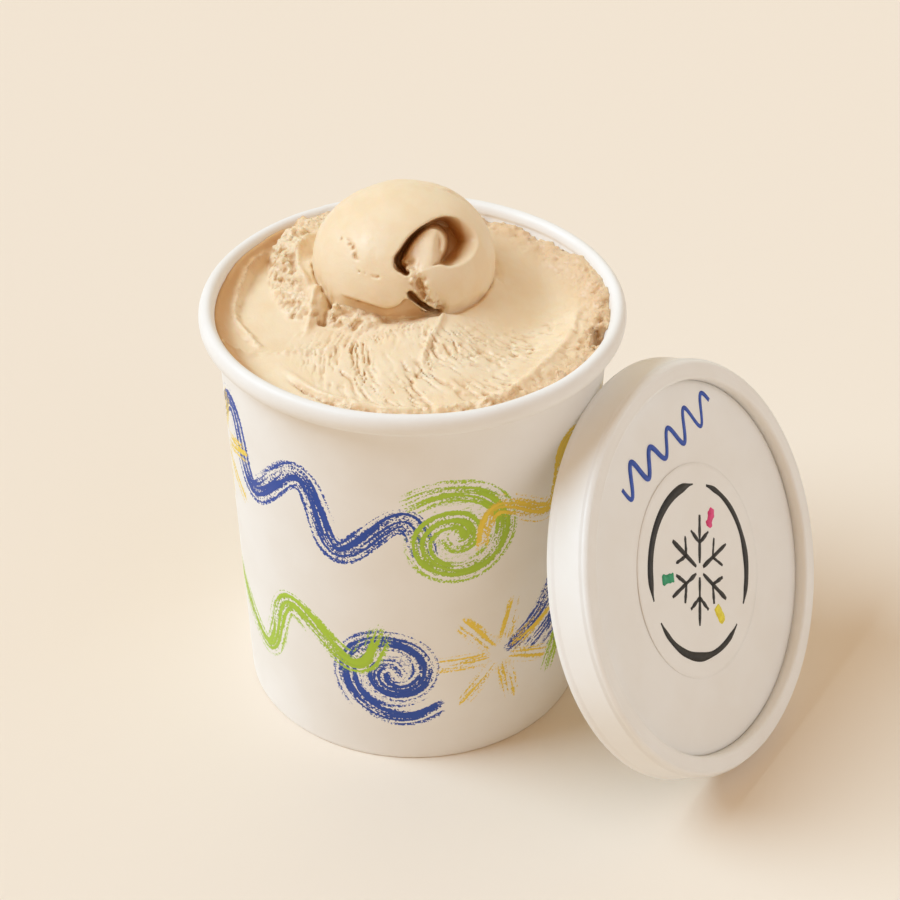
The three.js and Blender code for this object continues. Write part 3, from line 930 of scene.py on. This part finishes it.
def ice_cream_material():
    material, shader = new_material("ice_cream", 0.5)
    n = Nodes(material)
    shader.inputs["Subsurface Weight"].default_value = 0.18
    shader.inputs["Subsurface Radius"].default_value = (1.0, 0.5, 0.22)
    shader.inputs["Subsurface Scale"].default_value = 2.0 * MM
    shader.inputs["IOR"].default_value = 1.42
    tone = n.blend(n.ramp(n.noise(7.0, 3), 0.35, 0.65), ICE_CREAM_DEEP, ICE_CREAM_LIGHT)
    # The base colour is darkened by painted shade, read from a point attribute
    n.feed(shader.inputs["Base Color"], n.blend(n.attribute("painted_shade"), tone, ICE_CREAM_PAINTED_SHADE))
    grain = n.math("ADD", n.noise(0.4, 3), n.math("MULTIPLY", n.noise(1.3, 2), 1.1))
    fine = n.bump(grain, 0.10, 0.5)
    holes = n.ramp(n.noise(0.9, 2.5, roughness=0.6), 0.5, 0.68)
    holes = n.math("MULTIPLY", holes, n.attribute("crumbs"))
    n.feed(shader.inputs["Normal"], n.bump(n.math("SUBTRACT", 1.0, holes), 0.22, 0.7, fine))
    n.feed(shader.inputs["Roughness"], n.ramp(n.noise(2.5, 3), 0.3, 0.7, 0.34, 0.5))
    return material


def paper_material(name, roughness, white=PAPER_WHITE):
    material, shader = new_material(name, roughness)
    n = Nodes(material)
    fibre = n.noise(0.35, 3)
    cloud = n.ramp(n.noise(14.0, 3), 0.3, 0.7)
    warm = tuple(c * s for c, s in zip(white, (0.975, 0.965, 0.95)))
    n.feed(shader.inputs["Base Color"], n.blend(cloud, warm, white))
    n.feed(shader.inputs["Normal"], n.bump(fibre, 0.05, 0.35))
    n.feed(shader.inputs["Roughness"], n.ramp(n.noise(6.0, 2), 0.3, 0.7, roughness - 0.05, roughness + 0.05))
    return material


def printed_material():
    """Coated board with a waxy crayon print: each ink's strokes are given by an attribute."""
    material = paper_material("cup_paper", 0.5)
    n = Nodes(material)
    shader = material.node_tree.nodes["Principled BSDF"]
    colour = shader.inputs["Base Color"].links[0].from_socket
    grain = n.ramp(n.noise(0.5, 2, roughness=0.6), 0.36, 0.64)
    for ink, tint in INKS.items():
        parts = n.add("ShaderNodeSeparateXYZ")
        n.feed(parts.inputs[0], n.attribute(ink, "Vector"))
        along, across, pressure = parts.outputs
        lane = n.add("ShaderNodeCombineXYZ")
        n.feed(lane.inputs[0], n.math("MULTIPLY", along, 0.06))
        n.feed(lane.inputs[1], n.math("MULTIPLY", across, 0.95))
        streak = n.ramp(n.noise(1 / MM, 2.0, lane.outputs[0]), 0.36, 0.64)
        level = n.math("ADD", n.math("MULTIPLY", streak, 0.75), n.math("MULTIPLY", grain, 0.45))
        level = n.math("ADD", level, pressure)
        cover = n.math("MULTIPLY", n.ramp(level, 1.05, 1.2), n.ramp(pressure, 0.02, 0.15))
        shade = tuple(0.78 * c for c in tint)
        colour = n.blend(cover, colour, n.blend(streak, shade, tint))
    n.feed(shader.inputs["Base Color"], colour)
    return material


def ink_material(name, colour):
    material, shader = new_material(name, 0.5)
    n = Nodes(material)
    light = tuple(min(1.0, c * 1.25 + 0.01) for c in colour)
    n.feed(shader.inputs["Base Color"], n.blend(n.ramp(n.noise(1.2, 3), 0.35, 0.7), colour, light))
    return material


# Cup pieces

def cup_profile():
    """The wall's section as a closed loop that runs up the outside and down the inside."""
    hem_inside = BASE_RADIUS - HEM_THICKNESS
    foot = arc(BASE_RADIUS - 0.5, 0.5, 0.5, 0.5, -90, -10, 4)
    outside = [(wall_radius(h), h) for h in np.linspace(1.0, NECK_HEIGHT - 0.4, 84)]
    centre = (RIM_RADIUS - ROLL_HALF_WIDTH, CUP_HEIGHT - ROLL_HALF_HEIGHT)
    roll = arc(*centre, ROLL_HALF_WIDTH, ROLL_HALF_HEIGHT, -128, 176, 34)
    flare = np.linspace(FLARE["to"] - 0.4, FLARE["from"], 12)
    down = np.linspace(FLARE["from"] - 3, BASE_RECESS + 0.3, 24)
    inside = [(inside_radius(h), h) for h in (*flare, *down, BASE_RECESS)]
    hem = [(hem_inside, BASE_RECESS), (hem_inside, 0.2), (hem_inside + 0.2, 0.0)]
    return foot + outside + roll + inside + hem


def make_cup_wall(material):
    points, quads = lathe(cup_profile(), CUP_SIDES)
    radius, angle = polar(points[..., 0], points[..., 1])
    z = points[..., 2].copy()
    outer = radius > inside_radius(z) + 0.5 * BOARD
    printed = outer & (z < NECK_HEIGHT)
    off_seam = np.radians(degrees_apart(angle, SEAM["angle"])) * radius
    lap = 1 - smoothstep(off_seam, SEAM["width"] / 2 - SEAM["edge"], SEAM["width"] / 2)
    above_line = smoothstep(z, NECK_LINE["from"], NECK_LINE["to"])
    grow = outer * SEAM["step"] * lap + printed * NECK_LINE["step"] * above_line
    roll_share = RIM_SWAY * smoothstep(z, NECK_HEIGHT, CUP_HEIGHT)
    widen(points, (grow + roll_share * noise(points[..., :2], 16.0, 71)) / radius)
    points[..., 2] += roll_share * noise(points[..., :2], 13.0, 73)
    made = piece("cup_wall_paper", points.reshape(-1, 3), quads, material, "cup_paper", ["cup_wall"])
    print_strokes(made, angle.ravel(), z.ravel(), printed.ravel())


# The print's motifs, drawn flat: run is the distance round the cup and rise the height

def wave(length, height, periods):
    t = np.linspace(0, 1, 90)
    return [paired((t - 0.5) * length, height / 2 * np.sin(2 * math.pi * periods * t))]


def rays(inner, outer, count):
    """Short strokes that point out from a middle."""
    t = np.linspace(inner, outer, 12)
    turns = [2 * math.pi * (k + 0.3) / count for k in range(count)]
    return [paired(t * math.cos(a), t * math.sin(a)) for a in turns]


def spiral(radius, turns):
    t = np.linspace(0.08, 1, 110)
    turn = 2 * math.pi * turns * t
    return [paired(radius * t * np.cos(turn), radius * t * np.sin(turn))]


def hatch(length, gap, count):
    """Strokes side by side, each a little bowed."""
    t = np.linspace(-0.5, 0.5, 24)
    bow = 0.6 * t * t * length
    return [paired(t * length, (k - (count - 1) / 2) * gap + bow) for k in range(count)]


def turned_by(line, degrees):
    c, s = math.cos(math.radians(degrees)), math.sin(math.radians(degrees))
    return line @ np.array([[c, s], [-s, c]])


# Each motif: ink, lines, angle round the cup, height, slant, half width of the crayon
MOTIFS = [
    ("blue", wave(62, 15, 2.5), -128, 71, -14, 3.2),
    ("lime", spiral(14, 1.8), -78, 66, 200, 3.0),
    ("yellow", rays(5, 15, 7), -172, 70, 0, 2.2),
    ("yellow", wave(44, 12, 2), -42, 74, 26, 2.6),
    ("lime", wave(58, 15, 2), -140, 30, 16, 3.2),
    ("blue", spiral(14, 1.8), -97, 27, 20, 3.1),
    ("yellow", rays(5, 14, 7), -62, 29, 10, 2.2),
    ("blue", hatch(24, 6.5, 3), -36, 36, 58, 2.8),
    ("lime", rays(5, 14, 6), -8, 64, 0, 2.6),
    ("lime", wave(54, 14, 2), -4, 24, 12, 3.0),
    ("blue", spiral(14, 1.8), 30, 70, 120, 3.0),
    ("yellow", wave(56, 14, 2.5), 40, 30, -14, 2.6),
    ("yellow", spiral(13, 1.8), 68, 72, 0, 2.6),
    ("blue", wave(52, 14, 2), 84, 34, 18, 3.2),
    ("lime", hatch(26, 6.5, 3), 98, 76, -34, 2.8),
    ("lime", spiral(14, 1.8), 124, 30, 60, 3.0),
    ("blue", rays(5, 14, 7), 136, 72, 0, 2.6),
    ("yellow", hatch(24, 6.5, 3), 158, 32, 30, 2.4),
]


def print_strokes(obj, angle, z, printed):
    """Gives each ink's attribute: distance along and across the nearest stroke, and the crayon's pressure."""
    radius = wall_radius(0.5 * NECK_HEIGHT)
    turn = 2 * math.pi * radius
    run = np.radians(angle) * radius
    for ink in INKS:
        value = np.zeros((len(angle), 3))
        best = np.full(len(angle), 1e3)
        offset = 0.0
        for name, lines, where, height, slant, half in MOTIFS:
            if name != ink:
                continue
            for line in lines:
                path = turned_by(line, slant) + [math.radians(where) * radius, height]
                offset += 131.7
                lay_stroke(value, best, run, z, path, half, offset, turn)
        value[~printed] = 0
        mark(obj, ink, value, "FLOAT_VECTOR", "vector")


def lay_stroke(value, best, run, z, path, half, offset, turn):
    """Fills in the values of the points that lie nearer to this stroke than to those before it."""
    lengths = np.concatenate([[0], np.cumsum(np.linalg.norm(np.diff(path, axis=0), axis=1))])
    for i in range(len(path) - 1):
        a, b = path[i], path[i + 1]
        away = (run - a[0] + turn / 2) % turn - turn / 2
        rise = z - a[1]
        length = lengths[i + 1] - lengths[i]
        direction = (b - a) / length
        along = np.clip(away * direction[0] + rise * direction[1], 0, length)
        dx, dz = away - along * direction[0], rise - along * direction[1]
        distance = np.hypot(dx, dz)
        closer = (distance < best) & (distance < 2.2 * half)
        if not closer.any():
            continue
        side = dz * direction[0] - dx * direction[1]
        total = lengths[i] + along
        ends = smoothstep(total, -0.5, 7) * smoothstep(lengths[-1] - total, -0.5, 9)
        press = 0.78 * (1 - smoothstep(distance, 0.5 * half, 1.3 * half)) * mix(0.6, 1, ends)
        best[closer] = distance[closer]
        value[closer, 0] = (total + offset)[closer]
        value[closer, 1] = (side + 0.37 * offset)[closer]
        value[closer, 2] = press[closer]


def make_cup_base(material):
    low = BASE_RECESS + FIT_GAP
    points, faces = disc(inside_radius(low) - FIT_GAP, low, low + BOARD, 160, 24)
    radius = np.hypot(points[:, 0], points[:, 1])
    points[:, 2] += BASE_BEAD["height"] * bump(radius - BASE_BEAD["radius"], BASE_BEAD["width"])
    piece("cup_base_paper", points, faces, material, "cup_paper", ["cup_base"])


# Lid pieces

def lid_profile():
    """The band's section as a closed loop: up the skirt, over the ring and back along the inside."""
    top = LID_RADIUS - LID_TAPER
    ring_inside = top - LID_RING_WIDTH
    foot = PANEL_TOP - LID_BOARD
    lean = SKIRT["lean"] / LID_DEPTH
    heights = np.linspace(0.15, LID_DEPTH - 1.5, 22)
    skirt = [(LID_RADIUS - SKIRT["bead"] * smoothstep(h, *SKIRT["bead_end"]) - lean * h, h) for h in heights]
    outer = arc(top - LID_CORNER, LID_DEPTH - LID_CORNER, LID_CORNER, LID_CORNER, 0, 78, 9)
    radii = np.linspace(top - 1.2, ring_inside + 1.0, 7)
    crown = [(r, LID_DEPTH - 0.03 - 0.12 * bump(r - top + 0.9, 0.8)) for r in radii]
    inner = arc(ring_inside + 0.8, LID_DEPTH - 0.8, 0.8, 0.8, 80, 180, 8)
    back = [
        (ring_inside, foot),
        (ring_inside + LID_BOARD, foot),
        (ring_inside + LID_BOARD, LID_DEPTH - LID_BOARD),
        (top - LID_BOARD, LID_DEPTH - LID_BOARD - 0.5),
        (LID_RADIUS - LID_BOARD, 0.15),
        (LID_RADIUS - 0.5 * LID_BOARD, 0.0),
    ]
    return skirt + outer + crown + inner + back


def make_lid_band(material):
    points, quads = lathe(lid_profile(), LID_SIDES)
    widen(points, 0.12 * noise(points[..., :2] + 200, 18.0, 83) / LID_RADIUS)
    piece("lid_band_paper", on_lid(points.reshape(-1, 3)), quads, material, "lid_paper", ["lid_band"])


def make_lid_panel(material):
    radius = LID_RADIUS - LID_TAPER - LID_RING_WIDTH - PAPER_GAP
    points, faces = disc(radius, PANEL_TOP - LID_BOARD, PANEL_TOP, LID_SIDES, 40)
    flat = 1 - smoothstep(np.hypot(points[:, 0], points[:, 1]), radius - 8, radius)
    points[:, 2] += 0.10 * noise(points[:, :2] + 90, 22.0, 91) * flat
    piece("lid_panel_paper", on_lid(points), faces, material, "lid_paper", ["lid_panel"])


def make_lid_label(material):
    points, faces = disc(LABEL_RADIUS, PANEL_TOP + PAPER_GAP, LABEL_TOP, 160, 24)
    points[:, 0] += LABEL_DROP
    piece("lid_label_paper", on_lid(points), faces, material, "label_paper", ["lid_label"])


def ribbon(path, widths, low, high):
    """A thin closed strip along a flat path on the lid, as points and faces."""
    path = np.asarray(path, dtype=float)
    ahead = np.gradient(path, axis=0)
    ahead = ahead / np.linalg.norm(ahead, axis=1)[:, None]
    aside = np.stack([-ahead[:, 1], ahead[:, 0]], -1) * np.asarray(widths)[:, None] / 2
    corners = [(path + aside, low), (path + aside, high), (path - aside, high), (path - aside, low)]
    points = np.stack([np.column_stack([p, np.full(len(p), z)]) for p, z in corners], 1).reshape(-1, 3)
    faces = []
    for i in range(len(path) - 1):
        for k in range(4):
            after = (k + 1) % 4
            faces.append((4 * i + k, 4 * i + 4 + k, 4 * i + 4 + after, 4 * i + after))
    last = 4 * (len(path) - 1)
    return points, faces + [(0, 1, 2, 3), (last + 3, last + 2, last + 1, last)]


def joined(strips):
    points, faces, start = [], [], 0
    for p, f in strips:
        points.append(p)
        faces += [tuple(start + k for k in face) for face in f]
        start += len(p)
    return np.vstack(points), faces


def brush(count, width, seed, thin=0.45):
    """Widths along a brush stroke: uneven, and thin at its ends."""
    t = np.linspace(0, 1, count)
    swell = 1 + 0.3 * noise(paired(6 * t + seed, 0 * t), 1.0, seed)
    return width * swell * mix(thin, 1, smoothstep(np.minimum(t, 1 - t), 0, 0.12))


MARK_PLACE = {"down": -29.5, "from": -16.0, "to": 25.0, "height": 6.0, "waves": 5}
MARK_WIDTH = 1.15
MARK_INK = (0.02, 0.075, 0.42)
STICKER_INK = (0.012, 0.011, 0.011)
STICKER_UP = math.atan2(0.55, -0.84)
STICKER_RING = {"radius": 19.6, "width": 1.7, "arcs": [(8, 112), (128, 232), (248, 352)]}
CRYSTAL = {
    "arms": 6, "arm": (1.6, 12.6), "arm_width": 1.0,
    "barb": (6.2, 9.6), "barb_width": 0.85, "lean": 22,
}
SPRINKLE = {"reach": (10.6, 15.2), "width": 2.4, "turn": 35}
SPRINKLES = [((0.75, 0.05, 0.22), -55), ((0.02, 0.33, 0.16), 65), ((0.85, 0.72, 0.05), 185)]


def make_marker_wave(material):
    t = np.linspace(0, 1, 160)
    side = mix(MARK_PLACE["from"], MARK_PLACE["to"], t)
    swing = MARK_PLACE["height"] / 2 * (1 + 0.18 * np.sin(9 * t + 1))
    down = MARK_PLACE["down"] + swing * np.sin(2 * math.pi * MARK_PLACE["waves"] * t)
    widths = brush(len(t), MARK_WIDTH, 5, 0.7)
    points, faces = ribbon(paired(down, side), widths, PANEL_TOP - 0.1, PANEL_TOP + 0.12)
    piece("lid_marker_wave", on_lid(points), faces, material, "lid_paper")


def around(radius, start, end, count):
    turn = np.radians(np.linspace(start, end, count)) + STICKER_UP
    return paired(LABEL_DROP + radius * np.cos(turn), radius * np.sin(turn))


def spoke(angle, inner, outer, lean=0.0):
    """A straight stroke on the sticker from an inner to an outer radius."""
    a, b = around(inner, angle, angle, 1)[0], around(outer, angle + lean, angle + lean, 1)[0]
    t = np.linspace(0, 1, 14)[:, None]
    return a + (b - a) * t


def make_sticker_art(material):
    """A ring of brush strokes round a six-armed ice crystal."""
    low, high = PANEL_TOP + 0.1, LABEL_TOP + 0.05
    strips = []
    for k, (start, end) in enumerate(STICKER_RING["arcs"]):
        path = around(STICKER_RING["radius"], start, end, 90)
        strips.append(ribbon(path, brush(len(path), STICKER_RING["width"], 20 + k, 0.3), low, high))
    for k in range(CRYSTAL["arms"]):
        arm = 360 / CRYSTAL["arms"] * k
        path = spoke(arm, *CRYSTAL["arm"])
        strips.append(ribbon(path, brush(len(path), CRYSTAL["arm_width"], 30 + k, 0.6), low, high))
        for lean in (-CRYSTAL["lean"], CRYSTAL["lean"]):
            path = spoke(arm, *CRYSTAL["barb"], lean)
            strips.append(ribbon(path, brush(len(path), CRYSTAL["barb_width"], 40 + k, 0.6), low, high))
    points, faces = joined(strips)
    piece("lid_label_crystal", on_lid(points), faces, material, "label_paper")


def make_sprinkles():
    """Three coloured dashes between the crystal's arms."""
    low, high = PANEL_TOP + 0.1, LABEL_TOP + 0.06
    for k, (colour, angle) in enumerate(SPRINKLES):
        path = spoke(angle + SPRINKLE["turn"], *SPRINKLE["reach"])
        points, faces = ribbon(path, brush(len(path), SPRINKLE["width"], 60 + k, 0.7), low, high)
        ink = ink_material(f"sprinkle_{k}", colour)
        piece(f"lid_label_sprinkle_{k}", on_lid(points), faces, ink, "label_paper")


# Floor, lights and camera

# The camera's place from the cup's foot, its turns in radians, and its focal length in pixels
CAMERA = {
    "back": 428.19, "height": 368.51, "yaw": 0.019626, "pitch": 0.624537, "roll": 0.003525,
    "focal_px": 2269.0,
}
FRAME_PX = 900
SENSOR = 36.0


def make_camera():
    camera = bpy.data.cameras.new("camera")
    camera.sensor_fit = "HORIZONTAL"
    camera.sensor_width = SENSOR
    camera.lens = CAMERA["focal_px"] / FRAME_PX * SENSOR
    camera.clip_start = 0.01
    holder = placed("camera", camera)
    bpy.context.scene.camera = holder
    yaw, pitch = CAMERA["yaw"], CAMERA["pitch"]
    forward = Vector((math.sin(yaw) * math.cos(pitch), math.cos(yaw) * math.cos(pitch), -math.sin(pitch)))
    level = Vector((math.cos(yaw), -math.sin(yaw), 0))
    upright = level.cross(forward)
    c, s = math.cos(CAMERA["roll"]), math.sin(CAMERA["roll"])
    right, up = level * c + upright * s, upright * c - level * s
    place = Vector(to_scene([0, -CAMERA["back"], CAMERA["height"]]))
    turn = Matrix((right, up, -forward)).transposed().to_4x4()
    holder.matrix_world = Matrix.Translation(place) @ turn


# Soft lights: name, direction they come from, spread in degrees, and what a surface facing them gets
SUNS = [
    ("key", (-0.694, 0.0, 0.72), 34, (0.552, 0.745, 0.92)),
    ("fill_right", (0.8, -0.3, 0.5), 80, (0.138, 0.228, 0.315)),
    ("fill_back", (0.2, 0.8, 0.5), 80, (0.09, 0.13, 0.129)),
]
SKY_COLOUR = (0.511, 0.301, 0.113)
FLOOR_COLOUR = (0.868, 0.763, 0.642)
FLOOR_HALF = 3.0


def sun_light(name, direction, spread, strength):
    light = bpy.data.lights.new(name, "SUN")
    light.angle = math.radians(spread)
    light.energy = math.pi * max(strength)
    light.color = [c / max(strength) for c in strength]
    holder = placed(name, light)
    holder.rotation_euler = Vector(direction).to_track_quat("Z", "Y").to_euler()


def make_floor():
    mesh = bpy.data.meshes.new("floor")
    corners = [(x * FLOOR_HALF, y * FLOOR_HALF, 0) for x, y in ((-1, -1), (1, -1), (1, 1), (-1, 1))]
    mesh.from_pydata(corners, [], [(0, 1, 2, 3)])
    material, shader = new_material("floor", 0.75)
    shader.inputs["Base Color"].default_value = (*FLOOR_COLOUR, 1)
    mesh.materials.append(material)
    placed("floor", mesh)


def make_studio():
    scene = bpy.context.scene
    scene.view_settings.view_transform = "Standard"
    world = bpy.data.worlds.new("studio")
    world.use_nodes = True
    sky = world.node_tree.nodes["Background"]
    sky.inputs["Color"].default_value = (*SKY_COLOUR, 1)
    sky.inputs["Strength"].default_value = 1.0
    scene.world = world
    for light in SUNS:
        sun_light(*light)


def make_ice_cream(material, roll):
    axes = steps_between(GRID_LOW, GRID_HIGH, VOXEL)
    field = fill_in_cup(axes, roll)
    made = piece("ice_cream_scooped", *surface_nets(field, axes), material, "ice_cream", ["ice_cream"])
    clean_up(made, BASE_RECESS + BOARD + 2 * FIT_GAP)
    points = places_of(made)
    mark(made, "crumbs", crumb_share(points))
    # Painted shade: the points are darkened in gaps, by the left wall, on the crags and in the pit
    mark(made, "painted_shade", np.maximum(gap_painted_shade(field, axes, points), wall_painted_shade(points)))


def make_scoop(material, roll):
    reach = BALL_AXES + BAND
    low = [*(BALL_CENTRE - reach)[:2], SCOOP_BOTTOM - 1]
    axes = steps_between(low, BALL_CENTRE + reach, SCOOP_VOXEL)
    field = scoop_on_top(axes, roll)
    made = piece("scoop_rolled", *surface_nets(field, axes), material, "ice_cream", ["scoop"])
    clean_up(made)
    points = places_of(made)
    mark(made, "crumbs", scoop_torn(points, roll))
    # Painted shade: the points are darkened in gaps and in the scoop's hollows
    mark(made, "painted_shade", np.maximum(gap_painted_shade(field, axes, points), hollow_painted_shade(points, roll)))


def main():
    make_camera()
    make_studio()
    make_floor()
    make_cup_wall(printed_material())
    make_cup_base(paper_material("cup_base_paper", 0.5))
    lid_paper = paper_material("lid_paper", 0.48, LID_WHITE)
    make_lid_band(lid_paper)
    make_lid_panel(lid_paper)
    make_lid_label(paper_material("label_paper", 0.4, LID_WHITE))
    make_marker_wave(ink_material("marker_ink", MARK_INK))
    make_sticker_art(ink_material("sticker_ink", STICKER_INK))
    make_sprinkles()
    ice_cream = ice_cream_material()
    roll = RollMap()
    make_ice_cream(ice_cream, roll)
    make_scoop(ice_cream, roll)


main()
